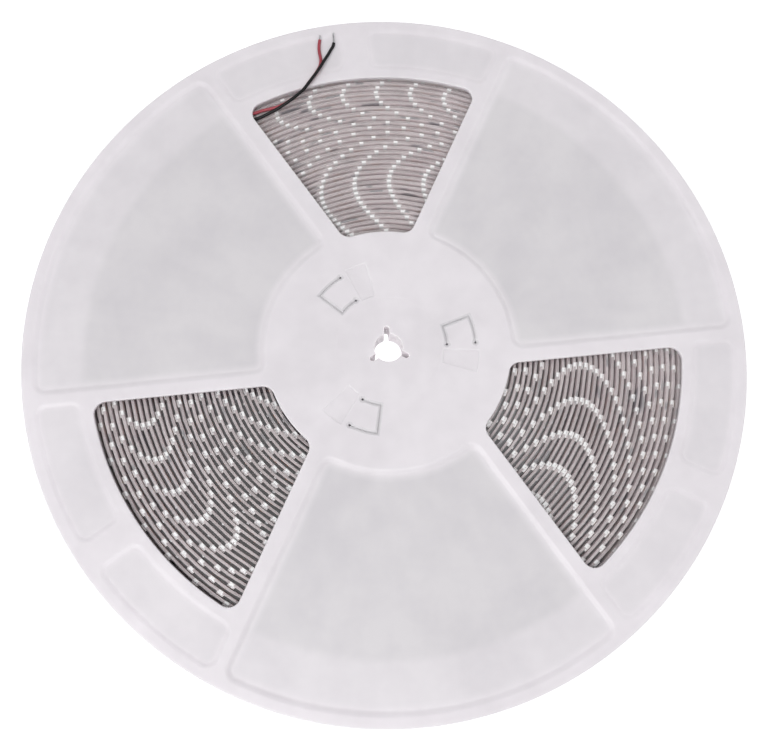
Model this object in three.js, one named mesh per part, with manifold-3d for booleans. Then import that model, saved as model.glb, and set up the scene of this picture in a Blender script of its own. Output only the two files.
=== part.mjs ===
// A reel of LED strip light, lying flat on its back flange.
// Two identical mouldings of white plastic snap together face to face. Between them
// a long flexible strip stands on edge, wound into a spiral, and its two leads come up
// through a window and lie over the front flange.
// Millimetres, +Z up, the reel's axis on Z, the origin in the middle of its underside.
// Angles are counterclockwise, as seen from above, where the front face is.

import * as THREE from "three";
import { mergeVertices } from "three/addons/utils/BufferGeometryUtils.js";
import Module from "manifold-3d";

const wasm = await Module();
wasm.setup();

// The reel, a standard 13 inch tape reel
const REEL_DIAMETER = 330;
const FLANGE_THICKNESS = 2.2;
const FLANGE_GAP = 9.8;
const RIM_CHAMFER = 0.5;
const SECTORS = 3;
const WINDOW_ANGLE = 98.7;
const PART_CLEARANCE = 0.3;

// The windows and the blank panels between them, parted by radial ribs
const WINDOW_INNER_RADIUS = 56.2;
const WINDOW_OUTER_RADIUS = 135;
const WINDOW_CORNER = 5.5;
const PANEL_INNER_RADIUS = 57;
const PANEL_OUTER_RADIUS = 159.2;
const PANEL_CORNER = 5;
const PANEL_RECESS = 0.9;
const RIB_CENTRE_OFFSET = 9.2;
const RIB_WIDTH = 7.2;

// The shallow pads outside each window
const PAD_OUTER_RADIUS = 159.6;
const PAD_WIDTH = 19.6;
const PAD_CORNER = 4.5;
const PAD_RECESS = 0.5;
const PAD_MIDDLE_RIB = 13;
const PAD_SIDE_OFFSET = 11.6;

// The hub
const ARBOR_DIAMETER = 13;
const NOTCH_REACH = 10.1;
const NOTCH_WIDTH = 2.4;
const SLEEVE_RADIUS = 13;
const HUB_RECESS_RADIUS = 24;
const HUB_RECESS = 0.4;
const DRUM_DIAMETER = 100;
const DRUM_WALL = 2.4;
const SPIGOT_WALL = 2.3;
const SPIGOT_MARGIN = 6;
const HUB_RIB_THICKNESS = 1.6;

// The snap tongues, cut out of the hub's face by a U-shaped slot
const TONGUE_INNER_RADIUS = 26.8;
const TONGUE_OUTER_RADIUS = 39.9;
const TONGUE_ROOT_ANGLE = 27.9;
const TONGUE_END_ANGLE = 46.5;
const TONGUE_SLOT = 1.2;
const TONGUE_RELIEF_DIAMETER = 2.6;
const POCKET_ANGLE = 17;
const POCKET_MARGIN = 1.6;
const POCKET_RECESS = 0.35;
const NIB_WIDTH = 7;
const NIB_THICKNESS = 1.6;
const NIB_HEIGHT = 2;
const NIB_SETBACK = 0.5;
const POST_WIDTH = 9;
const POST_THICKNESS = 2.4;

// The LED strip, on edge
const STRIP_WIDTH = 8;
const STRIP_THICKNESS = 1.1;
const STRIP_LIFT = 0.2;
const TURN_PITCH = 2.54;
const TURNS = 34;
const MIDDLE_TURN = 16;
// How much looser the winding is away from its middle
const TURN_WIDENING = 0.0025;
const FIRST_TURN_CLEARANCE = 1.64;
const STRIP_END_ANGLE = 138;
const TURN_STEPS = 26;

// The leads, soldered to the strip's outer end
const LEAD_DIAMETER = 1.5;
const LEAD_SIDES = 8;
const LEAD_STEPS = 34;
const TIP_DIAMETER = 0.8;
const TIP_SIDES = 6;
const TIP_STEPS = 4;
const SOLDER_LENGTH = 3.2;
const SOLDER_WIDTH = 2.2;
const SOLDER_HEIGHT = 1.5;
const SOLDER_SPACING = 3.4;
const SOLDER_INSET = 2.2;

// How far a chord may lie inside the arc that it stands for
const CHORD_ERROR = 0.11;

const REEL_RADIUS = REEL_DIAMETER / 2;
const DRUM_RADIUS = DRUM_DIAMETER / 2;
const SECTOR_ANGLE = 360 / SECTORS;
const HALF_SECTOR = SECTOR_ANGLE / 4;
const REEL_WIDTH = FLANGE_GAP + 2 * FLANGE_THICKNESS;
const HALF_DEPTH = (REEL_WIDTH - PART_CLEARANCE) / 2;
const REACH_DEPTH = REEL_WIDTH - FLANGE_THICKNESS - PART_CLEARANCE;
const CUT_MARGIN = 1;

const WHITE_PLASTIC = { color: 0xe6e3e6, roughness: 0.45, metalness: 0 };
const STRIP_PLASTIC = { color: 0xc8bebc, roughness: 0.6, metalness: 0 };
const RED_PVC = { color: 0xb3262e, roughness: 0.45, metalness: 0 };
const BLACK_PVC = { color: 0x16161a, roughness: 0.45, metalness: 0 };
const TINNED_COPPER = { color: 0xc9c9cc, roughness: 0.35, metalness: 1 };

const radians = (degrees) => (degrees * Math.PI) / 180;

const polar = (radius, degrees) =>
  new THREE.Vector2(radius, 0).rotateAround(new THREE.Vector2(), radians(degrees));

// Solids: a closed three.js geometry as a manifold-3d solid, and back
function solid(geometry) {
  geometry.deleteAttribute("normal");
  geometry.deleteAttribute("uv");
  const merged = mergeVertices(geometry, 1e-4);
  return new wasm.Manifold(
    new wasm.Mesh({
      numProp: 3,
      vertProperties: merged.attributes.position.array,
      triVerts: new Uint32Array(merged.index.array),
    }),
  );
}

function geometryOf(manifold) {
  const { vertProperties, triVerts } = manifold.getMesh();
  const geometry = new THREE.BufferGeometry();
  geometry.setAttribute("position", new THREE.BufferAttribute(vertProperties, 3));
  geometry.setIndex(new THREE.BufferAttribute(triVerts, 1));
  geometry.computeVertexNormals();
  return geometry;
}

function named(name, geometry, finish) {
  const mesh = new THREE.Mesh(geometry, new THREE.MeshStandardMaterial(finish));
  mesh.name = name;
  return mesh;
}

// The points of an arc round a centre, as many as CHORD_ERROR needs
function arc(centre, radius, fromAngle, toAngle) {
  const step = 2 * Math.acos(1 - CHORD_ERROR / Math.max(radius, 2));
  const count = Math.max(2, Math.ceil(Math.abs(radians(toAngle - fromAngle)) / step));
  const points = [];
  for (let i = 0; i <= count; i++) {
    const angle = fromAngle + ((toAngle - fromAngle) * i) / count;
    points.push(polar(radius, angle).add(centre));
  }
  return points;
}

const circle = (radius, centre = new THREE.Vector2()) =>
  arc(centre, radius, 0, 360).slice(0, -1);

// An outline pulled down from one height to another, as a solid
function slab(outline, top, bottom) {
  const geometry = new THREE.ExtrudeGeometry(new THREE.Shape(outline), {
    depth: top - bottom,
    bevelEnabled: false,
  });
  return solid(geometry.translate(0, 0, bottom));
}

const ring = (outer, inner, top, bottom) =>
  slab(circle(outer), top, bottom).subtract(
    slab(circle(inner), top + CUT_MARGIN, bottom - CUT_MARGIN),
  );

// A field between two radii and two straight sides, with rounded corners. Each side
// is parallel to the radial at its angle and lies its offset inside it.
function field(inner, outer, low, high, corner) {
  const origin = new THREE.Vector2();
  const rounded = (side, radius, inward, turn) => {
    const across = side.offset + corner;
    const centreRadius = radius + (inward ? -corner : corner);
    const along = Math.sqrt(centreRadius ** 2 - across ** 2);
    const centre = new THREE.Vector2(along, turn * across);
    centre.rotateAround(origin, radians(side.angle));
    const onArc = THREE.MathUtils.radToDeg(centre.angle()) + (inward ? 0 : 180);
    const onSide = side.angle - 90 * turn;
    const sweep = THREE.MathUtils.euclideanModulo(onSide - onArc + 180, 360) - 180;
    return arc(centre, corner, onArc, onArc + sweep);
  };
  const lowOuter = rounded(low, outer, true, 1).reverse();
  const highOuter = rounded(high, outer, true, -1);
  const highInner = rounded(high, inner, false, -1).reverse();
  const lowInner = rounded(low, inner, false, 1);
  const between = (from, to, radius) => {
    const start = THREE.MathUtils.radToDeg(from.angle());
    const sweep = THREE.MathUtils.euclideanModulo(
      THREE.MathUtils.radToDeg(to.angle()) - start + 180,
      360,
    );
    return arc(origin, radius, start, start + sweep - 180).slice(1, -1);
  };
  return [
    ...lowOuter,
    ...between(lowOuter.at(-1), highOuter[0], outer),
    ...highOuter,
    ...highInner,
    ...between(highInner.at(-1), lowInner[0], inner),
    ...lowInner,
  ];
}

function windowOutline(middle) {
  const offset = RIB_CENTRE_OFFSET + RIB_WIDTH / 2;
  return field(
    WINDOW_INNER_RADIUS,
    WINDOW_OUTER_RADIUS,
    { angle: middle - HALF_SECTOR, offset },
    { angle: middle + HALF_SECTOR, offset },
    WINDOW_CORNER,
  );
}

function panelOutline(middle) {
  const offset = -(RIB_CENTRE_OFFSET - RIB_WIDTH / 2);
  return field(
    PANEL_INNER_RADIUS,
    PANEL_OUTER_RADIUS,
    { angle: middle - HALF_SECTOR, offset },
    { angle: middle + HALF_SECTOR, offset },
    PANEL_CORNER,
  );
}

function padOutlines(middle) {
  const centreSide = { angle: middle, offset: PAD_MIDDLE_RIB / 2 };
  const lowSide = { angle: middle - HALF_SECTOR, offset: PAD_SIDE_OFFSET };
  const highSide = { angle: middle + HALF_SECTOR, offset: PAD_SIDE_OFFSET };
  const inner = PAD_OUTER_RADIUS - PAD_WIDTH;
  return [
    field(inner, PAD_OUTER_RADIUS, lowSide, centreSide, PAD_CORNER),
    field(inner, PAD_OUTER_RADIUS, centreSide, highSide, PAD_CORNER),
  ];
}

// A sector between two radii and two radial sides
const sector = (inner, outer, low, high) => [
  ...arc(new THREE.Vector2(), outer, low, high),
  ...arc(new THREE.Vector2(), inner, high, low),
];

// A block between two radii and two planes that are parallel to the radial at an angle
function block(inner, outer, angle, low, high, top, bottom) {
  const corners = [
    [inner, low],
    [outer, low],
    [outer, high],
    [inner, high],
  ];
  const outline = corners.map(([x, y]) =>
    new THREE.Vector2(x, y).rotateAround(new THREE.Vector2(), radians(angle)),
  );
  return slab(outline, top, bottom);
}

// The U-shaped slot round a tongue, open towards the root, with round relief holes
function tongueSlot(middle) {
  const origin = new THREE.Vector2();
  const half = TONGUE_SLOT / 2;
  const root = middle + TONGUE_ROOT_ANGLE;
  const end = middle + TONGUE_END_ANGLE;
  const lean = (radius, across) => THREE.MathUtils.radToDeg(Math.asin(across / radius));
  const leg = (radius, across) => arc(origin, radius, root, end + lean(radius, across));
  const outline = [
    ...leg(TONGUE_OUTER_RADIUS + half, half),
    ...leg(TONGUE_INNER_RADIUS - half, half).reverse(),
    ...leg(TONGUE_INNER_RADIUS + half, -half),
    ...leg(TONGUE_OUTER_RADIUS - half, -half).reverse(),
  ];
  const through = [CUT_MARGIN, -FLANGE_THICKNESS - CUT_MARGIN];
  const relief = (radius) =>
    slab(circle(TONGUE_RELIEF_DIAMETER / 2, polar(radius, root)), ...through);
  return slab(outline, ...through)
    .add(relief(TONGUE_INNER_RADIUS))
    .add(relief(TONGUE_OUTER_RADIUS));
}

// The three-notched hole for the machine's arbor
function arborHole() {
  const top = CUT_MARGIN;
  const bottom = -REEL_WIDTH;
  let hole = slab(circle(ARBOR_DIAMETER / 2), top, bottom);
  for (let i = 0; i < SECTORS; i++) {
    const angle = WINDOW_ANGLE + i * SECTOR_ANGLE;
    const end = polar(NOTCH_REACH - NOTCH_WIDTH / 2, angle);
    const slot = [
      ...arc(end, NOTCH_WIDTH / 2, angle - 90, angle + 90),
      ...arc(new THREE.Vector2(), NOTCH_WIDTH / 2, angle + 90, angle + 270),
    ];
    hole = hole.add(slab(slot, top, bottom));
  }
  return hole;
}

// One half of the reel, its outer face up at z = 0 and everything else below it
function reelHalf() {
  const inside = -FLANGE_THICKNESS;
  const disc = [
    [0, inside],
    [REEL_RADIUS - RIM_CHAMFER, inside],
    [REEL_RADIUS, inside + RIM_CHAMFER],
    [REEL_RADIUS, -RIM_CHAMFER],
    [REEL_RADIUS - RIM_CHAMFER, 0],
    [0, 0],
  ].map(([radius, z]) => new THREE.Vector2(radius, z));
  const rimStep = 2 * Math.acos(1 - CHORD_ERROR / REEL_RADIUS);
  const lathe = new THREE.LatheGeometry(disc, Math.ceil((2 * Math.PI) / rimStep));
  let half = solid(lathe.rotateX(Math.PI / 2));

  half = half.add(ring(DRUM_RADIUS, DRUM_RADIUS - DRUM_WALL, inside, -HALF_DEPTH));
  half = half.add(slab(circle(SLEEVE_RADIUS), inside, -HALF_DEPTH));

  const spigotOuter = DRUM_RADIUS - DRUM_WALL - PART_CLEARANCE;
  const ribOuter = DRUM_RADIUS - DRUM_WALL / 2;
  const ribHalf = HUB_RIB_THICKNESS / 2;
  const tongueMiddle = (TONGUE_INNER_RADIUS + TONGUE_OUTER_RADIUS) / 2;
  const endGap = TONGUE_SLOT / 2 + NIB_SETBACK;
  const nibAngle = TONGUE_END_ANGLE - THREE.MathUtils.radToDeg(endGap / tongueMiddle);
  for (let i = 0; i < SECTORS; i++) {
    const middle = WINDOW_ANGLE + i * SECTOR_ANGLE;
    const opposite = middle + SECTOR_ANGLE / 2;
    const spigot = sector(
      spigotOuter - SPIGOT_WALL,
      spigotOuter,
      middle + SPIGOT_MARGIN,
      opposite - SPIGOT_MARGIN,
    );
    half = half.add(slab(spigot, inside, -REACH_DEPTH));
    for (const angle of [middle, opposite])
      half = half.add(block(0, ribOuter, angle, -ribHalf, ribHalf, inside, -HALF_DEPTH));

    // The nib under a tongue's free end, and the post that stops the other half's nib
    const nib = block(
      tongueMiddle - NIB_WIDTH / 2,
      tongueMiddle + NIB_WIDTH / 2,
      middle + nibAngle,
      -NIB_THICKNESS,
      0,
      inside,
      inside - NIB_HEIGHT,
    );
    const post = block(
      tongueMiddle - POST_WIDTH / 2,
      tongueMiddle + POST_WIDTH / 2,
      middle - nibAngle,
      -PART_CLEARANCE - POST_THICKNESS,
      -PART_CLEARANCE,
      inside,
      -REACH_DEPTH,
    );
    half = half.add(nib).add(post);
  }

  half = half.subtract(slab(circle(HUB_RECESS_RADIUS), CUT_MARGIN, -HUB_RECESS));
  half = half.subtract(arborHole());
  for (let i = 0; i < SECTORS; i++) {
    const middle = WINDOW_ANGLE + i * SECTOR_ANGLE;
    const window = slab(windowOutline(middle), CUT_MARGIN, inside - CUT_MARGIN);
    const panel = slab(panelOutline(middle + SECTOR_ANGLE / 2), CUT_MARGIN, -PANEL_RECESS);
    half = half.subtract(window).subtract(panel);
    for (const outline of padOutlines(middle))
      half = half.subtract(slab(outline, CUT_MARGIN, -PAD_RECESS));
    const pocket = sector(
      TONGUE_INNER_RADIUS - POCKET_MARGIN,
      TONGUE_OUTER_RADIUS + POCKET_MARGIN,
      middle + TONGUE_ROOT_ANGLE - POCKET_ANGLE,
      middle + TONGUE_ROOT_ANGLE,
    );
    half = half.subtract(slab(pocket, CUT_MARGIN, -POCKET_RECESS));
    half = half.subtract(tongueSlot(middle));
  }
  return geometryOf(half);
}

// The strip's spiral: it winds outward clockwise, from the drum to its outer end
const turnRadius = (turns) =>
  DRUM_RADIUS +
  FIRST_TURN_CLEARANCE +
  turns * TURN_PITCH +
  (turns - MIDDLE_TURN) ** 2 * TURN_WIDENING;
const LAST_TURN_RADIUS = turnRadius(TURNS);
const STRIP_BOTTOM = FLANGE_THICKNESS + STRIP_LIFT;
const STRIP_TOP = STRIP_BOTTOM + STRIP_WIDTH;

function ledStrip() {
  const steps = Math.round(TURNS * TURN_STEPS);
  const edge = (offset) => {
    const points = [];
    for (let i = 0; i <= steps; i++) {
      const turns = TURNS * (1 - i / steps);
      const radius = turnRadius(TURNS - turns) + offset;
      points.push(polar(radius, STRIP_END_ANGLE + 360 * turns));
    }
    return points;
  };
  const outline = [...edge(0), ...edge(STRIP_THICKNESS).reverse()];
  const geometry = new THREE.ExtrudeGeometry(new THREE.Shape(outline), {
    depth: STRIP_WIDTH,
    bevelEnabled: false,
  });
  return geometry.translate(0, 0, STRIP_BOTTOM);
}

// A solder joint on the strip's outer face, near its end, above or below the middle
function solderJoint(side) {
  const radius = LAST_TURN_RADIUS + STRIP_THICKNESS + STRIP_LIFT + SOLDER_HEIGHT / 2;
  const geometry = new THREE.SphereGeometry(0.5, 12, 8);
  geometry.rotateX(Math.PI / 2);
  geometry.scale(SOLDER_HEIGHT, SOLDER_LENGTH, SOLDER_WIDTH);
  const turn = THREE.MathUtils.radToDeg(SOLDER_INSET / radius);
  geometry.rotateZ(radians(STRIP_END_ANGLE + turn));
  const { x, y } = polar(radius, STRIP_END_ANGLE + turn);
  const z = (STRIP_BOTTOM + STRIP_TOP) / 2 + (side * SOLDER_SPACING) / 2;
  return geometry.translate(x, y, z);
}

// The leads' routes, chosen by hand: from the solder joint up and over the turns, up through
// the window's corner, where the black lead climbs on the red one, and out over the flange.
// Each point is its radius, its angle and its height.
const RED_ROUTE = [
  [141.3, 138.1, 8.1],
  [141.9, 136.4, 8.4],
  [142.3, 134.6, 9.5],
  [142.2, 132.8, 10.8],
  [141.1, 131.0, 11.2],
  [139.1, 129.2, 11.2],
  [136.95, 127.2, 11.2],
  [135.1, 125.2, 11.2],
  [133.7, 123.2, 11.2],
  [132.8, 121.2, 11.25],
  [132.2, 119.7, 11.5],
  [131.3, 118.25, 12.0],
  [130.5, 116.7, 12.6],
  [130.4, 114.75, 13.6],
  [131.2, 112.9, 14.5],
  [132.4, 111.45, 14.95],
  [134.1, 110.1, 15.0],
  [136.6, 108.85, 15.0],
  [138.9, 107.7, 15.0],
  [141.3, 106.7, 14.95],
  [143.8, 105.9, 14.85],
  [146.4, 105.5, 14.7],
  [148.6, 105.4, 14.55],
  [150.6, 105.4, 14.5],
  [153.0, 105.3, 14.5],
  [155.3, 105.1, 14.5],
  [157.6, 104.8, 14.5],
];
const BLACK_ROUTE = [
  [141.3, 138.1, 4.7],
  [141.6, 136.4, 5.2],
  [141.5, 134.6, 6.9],
  [140.9, 132.8, 9.2],
  [139.4, 131.0, 10.9],
  [137.3, 129.2, 11.2],
  [134.95, 127.3, 11.2],
  [132.8, 125.4, 11.2],
  [131.2, 123.6, 11.2],
  [129.9, 121.7, 11.25],
  [129.4, 120.3, 11.8],
  [129.1, 118.55, 12.8],
  [129.0, 116.75, 14.0],
  [129.4, 114.85, 15.2],
  [130.3, 113.0, 16.1],
  [131.6, 111.5, 16.5],
  [133.2, 110.2, 16.55],
  [135.7, 108.9, 16.55],
  [138.0, 107.75, 16.55],
  [140.4, 106.7, 16.5],
  [142.9, 105.75, 16.35],
  [145.6, 104.9, 15.9],
  [148.5, 104.0, 15.2],
  [151.2, 103.25, 14.7],
  [153.4, 102.65, 14.5],
  [154.9, 102.45, 14.5],
];
// The tinned ends go on from there, after a small gap
const RED_TIP_ROUTE = [
  [157.8, 104.8, 14.5],
  [158.9, 104.7, 14.55],
  [159.9, 104.6, 14.65],
];
const BLACK_TIP_ROUTE = [
  [155.1, 102.45, 14.5],
  [157.6, 102.3, 14.5],
  [160.2, 102.2, 14.7],
];

function routeCurve(route) {
  const points = route.map(([radius, angle, z]) => {
    const { x, y } = polar(radius, angle);
    return new THREE.Vector3(x, y, z);
  });
  return new THREE.CatmullRomCurve3(points, false, "centripetal");
}

function wire(route, diameter, sides, steps) {
  const section = [];
  for (let i = 0; i < sides; i++)
    section.push(polar(diameter / 2, ((i + 0.5) * 360) / sides));
  return new THREE.ExtrudeGeometry(new THREE.Shape(section), {
    steps,
    extrudePath: routeCurve(route),
  });
}

const lead = (route) => wire(route, LEAD_DIAMETER, LEAD_SIDES, LEAD_STEPS);
const tip = (route) => wire(route, TIP_DIAMETER, TIP_SIDES, TIP_STEPS);

const reel = new THREE.Group();

const half = reelHalf();
const frontHalf = named("front_half", half, WHITE_PLASTIC);
frontHalf.position.z = REEL_WIDTH;
const backHalf = named("back_half", half, WHITE_PLASTIC);
const { x: flipX, y: flipY } = polar(1, WINDOW_ANGLE);
backHalf.quaternion.setFromAxisAngle(new THREE.Vector3(flipX, flipY, 0), Math.PI);
reel.add(frontHalf, backHalf);

const strip = new THREE.Group();
strip.add(named("led_strip", ledStrip(), STRIP_PLASTIC));
strip.add(named("solder_joint_red", solderJoint(1), TINNED_COPPER));
strip.add(named("solder_joint_black", solderJoint(-1), TINNED_COPPER));
strip.add(named("red_lead", lead(RED_ROUTE), RED_PVC));
strip.add(named("black_lead", lead(BLACK_ROUTE), BLACK_PVC));
strip.add(named("red_lead_tip", tip(RED_TIP_ROUTE), TINNED_COPPER));
strip.add(named("black_lead_tip", tip(BLACK_TIP_ROUTE), TINNED_COPPER));
reel.add(strip);

export default reel;
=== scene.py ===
import bpy, bmesh, math
import numpy as np
from mathutils import Matrix, Vector
from mathutils.geometry import delaunay_2d_cdt


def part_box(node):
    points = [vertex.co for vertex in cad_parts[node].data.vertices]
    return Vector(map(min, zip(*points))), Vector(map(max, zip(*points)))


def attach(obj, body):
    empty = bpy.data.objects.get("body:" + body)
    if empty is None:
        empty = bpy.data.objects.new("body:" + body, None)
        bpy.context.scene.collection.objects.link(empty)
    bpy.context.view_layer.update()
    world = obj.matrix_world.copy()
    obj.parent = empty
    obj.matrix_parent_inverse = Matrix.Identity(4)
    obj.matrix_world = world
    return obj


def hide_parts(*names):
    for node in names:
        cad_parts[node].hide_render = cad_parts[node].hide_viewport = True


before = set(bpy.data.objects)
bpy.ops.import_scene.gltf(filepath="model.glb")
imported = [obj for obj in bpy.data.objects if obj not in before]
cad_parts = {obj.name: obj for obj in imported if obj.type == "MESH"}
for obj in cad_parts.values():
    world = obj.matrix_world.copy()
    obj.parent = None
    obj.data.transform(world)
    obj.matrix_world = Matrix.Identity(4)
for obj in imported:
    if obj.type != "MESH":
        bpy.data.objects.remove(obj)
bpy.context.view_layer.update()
mm = 0.001
scene = bpy.context.scene


# Helpers

def polar(radius, degrees):
    turn = math.radians(degrees)
    return Vector((radius * math.cos(turn), radius * math.sin(turn)))


def srgb(hexCode):
    value = hexCode.lstrip("#")
    channels = [int(value[i:i + 2], 16) / 255 for i in (0, 2, 4)]
    linear = [c / 12.92 if c <= 0.04045 else ((c + 0.055) / 1.055) ** 2.4 for c in channels]
    return (*linear, 1)


def makeObject(name, mesh, materials=()):
    obj = bpy.data.objects.new(name, mesh)
    scene.collection.objects.link(obj)
    for material in materials:
        mesh.materials.append(material)
    return obj


def smooth(mesh, degrees):
    mesh.polygons.foreach_set("use_smooth", [True] * len(mesh.polygons))
    mesh.set_sharp_from_angle(angle=math.radians(degrees))


# Links or sets a node's inputs, each by its name or as i and its number
def setInputs(tree, node, **inputs):
    for key, value in inputs.items():
        numbered = key[0] == "i" and key[1:].isdigit()
        socket = node.inputs[int(key[1:]) if numbered else key.replace("_", " ")]
        if isinstance(value, bpy.types.NodeSocket):
            tree.links.new(value, socket)
        else:
            socket.default_value = value


# Adds a node with its settings, the stops of its ramp and its inputs
def addNode(tree, kind, settings=None, stops=(), **inputs):
    node = tree.nodes.new(kind)
    for key, value in (settings or {}).items():
        setattr(node, key, value)
    for i, (position, colour) in enumerate(stops):
        elements = node.color_ramp.elements
        element = elements[i] if i < 2 else elements.new(position)
        element.position, element.color = position, colour
    setInputs(tree, node, **inputs)
    return node


def newMaterial(name):
    material = bpy.data.materials.new(name)
    material.use_nodes = True
    tree = material.node_tree
    return material, tree, tree.nodes["Principled BSDF"]


# Camera, from the photo's perspective

cameraPlan = {
    "place": (-12.3, -106.1, 440.4),     # mm
    "aim": (-1.5, -13.4, 14.2),
    "roll": 2.61,                        # degrees
    "lens": 45.2,
}


def makeCamera(plan):
    data = bpy.data.cameras.new("camera")
    data.sensor_width = 36
    data.lens = plan["lens"]
    data.clip_start, data.clip_end = 0.01, 20
    obj = bpy.data.objects.new("camera", data)
    place, aim = Vector(plan["place"]) * mm, Vector(plan["aim"]) * mm
    back = (place - aim).normalized()
    up = Vector((0, 1, 0))
    up = (up - back * up.dot(back)).normalized()
    side = up.cross(back)
    roll = Matrix.Rotation(math.radians(plan["roll"]), 3, "Z")
    facing = Matrix((side, up, back)).transposed() @ roll
    obj.matrix_world = Matrix.Translation(place) @ facing.to_4x4()
    scene.collection.objects.link(obj)
    scene.camera = obj


makeCamera(cameraPlan)
print("camera placed")


# Materials

# Polystyrene, injection moulded in white and a little translucent: satin, with a soft mottle. Painted shade
# greys the thin floors, for the winding seen through them and less beyond it, and the grooves round the
# tongues; painted light whitens the arbor hole's wall
plasticPlan = {
    "thick": ("#dfdbdf", "#e6e2e6"),     # ribs, rim and hub
    "thinPaintedShade": ("#d2cfd3", "#dad7da"),      # the floors of the blank panels, greyed by painted shade of the winding behind
    "winding": (135.5, 140.5),           # mm, where the winding behind a thin wall ends
    "openShare": 0.45,                   # how much of the thin wall's painted shade is left beyond it
    # the arbor hole's wall, whitened by painted light
    "holeWallPaintedLight": "#fff7fc",
    "mottle": 0.13,
    "cloudSize": 38, "flowSize": 9, "grainSize": 0.5,    # mm
    "roughness": 0.42,
    "subsurface": 0.75,
    "subsurfaceScale": 2.0,              # mm
}


def whitePlastic(plan):
    material, tree, shader = newMaterial("polystyreneWhite")
    place = addNode(tree, "ShaderNodeTexCoord").outputs["Object"]
    cloud, flow, grain = (
        addNode(tree, "ShaderNodeTexNoise", Vector=place, Scale=1 / (plan[size] * mm),
                Detail=detail, Roughness=roughness).outputs["Fac"]
        for size, detail, roughness in (("cloudSize", 3, 0.6), ("flowSize", 2, 0.5), ("grainSize", 2, 0.5)))
    both = addNode(tree, "ShaderNodeMix", {"data_type": "FLOAT"}, Factor=0.35, A=cloud, B=flow)
    spread = addNode(tree, "ShaderNodeMapRange", Value=both.outputs["Result"],
                     From_Min=0.5 - plan["mottle"], From_Max=0.5 + plan["mottle"])
    thick, thinPaintedShade = (addNode(tree, "ShaderNodeValToRGB", Fac=spread.outputs["Result"],
                           stops=[(i, srgb(code)) for i, code in enumerate(plan[key])]).outputs["Color"]
                   for key in ("thick", "thinPaintedShade"))
    paintedShadeAndLight = addNode(tree, "ShaderNodeAttribute", {"attribute_name": "paintedShadeAndLight"}).outputs["Fac"]
    distance = addNode(tree, "ShaderNodeVectorMath", {"operation": "LENGTH"}, i0=place)
    behind, openAir = (radius * mm for radius in plan["winding"])
    beyond = addNode(tree, "ShaderNodeMapRange", {"interpolation_type": "SMOOTHSTEP"},
                     Value=distance.outputs["Value"], From_Min=behind, From_Max=openAir,
                     To_Min=1.0, To_Max=plan["openShare"])
    # painted shade: the thin floors take the greyer colour, less so beyond the winding
    windingShade = addNode(tree, "ShaderNodeMath", {"operation": "MULTIPLY"}, i0=paintedShadeAndLight,
                   i1=beyond.outputs["Result"])
    wall = addNode(tree, "ShaderNodeMix", {"data_type": "RGBA"}, i0=windingShade.outputs[0], i6=thick, i7=thinPaintedShade)
    # painted light: the arbor hole's wall, where the share is negative, is whitened for light that comes
    # through the hub
    paintedHoleLight = addNode(tree, "ShaderNodeMath", {"operation": "MULTIPLY"}, i0=paintedShadeAndLight, i1=-1.0)
    colour = addNode(tree, "ShaderNodeMix", {"data_type": "RGBA"}, i0=paintedHoleLight.outputs[0],
                     i6=wall.outputs[2], i7=srgb(plan["holeWallPaintedLight"]))
    bump = addNode(tree, "ShaderNodeBump", Strength=0.05, Distance=0.05 * mm, Height=grain)
    setInputs(tree, shader, Base_Color=colour.outputs[2], Normal=bump.outputs["Normal"],
              Roughness=plan["roughness"], IOR=1.5, Subsurface_Weight=plan["subsurface"],
              Subsurface_Radius=(1.0, 1.0, 1.0), Subsurface_Scale=plan["subsurfaceScale"] * mm)
    return material


polystyrene = whitePlastic(plasticPlan)


# The strip's flexible circuit in its translucent silicone coat: satin and milky, with longer grey stretches
# at random along it. Painted shade darkens it low down, where little light comes, and painted light whitens
# it where a package lies under the coat
stripFinish = {
    "roughness": 0.45,
    "subsurface": 0.8,
    "subsurfaceScale": 2.2,              # mm
    "depth": (2.6, 7.8),                 # mm, the heights between which the painted shade low down lifts
    "lowShade": 0.5,
    # painted light: white over a package
    "paintedPackageGlow": "#ffffff",
    "patchHeight": 30,                   # mm, how high a patch is across the strip
}


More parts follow.
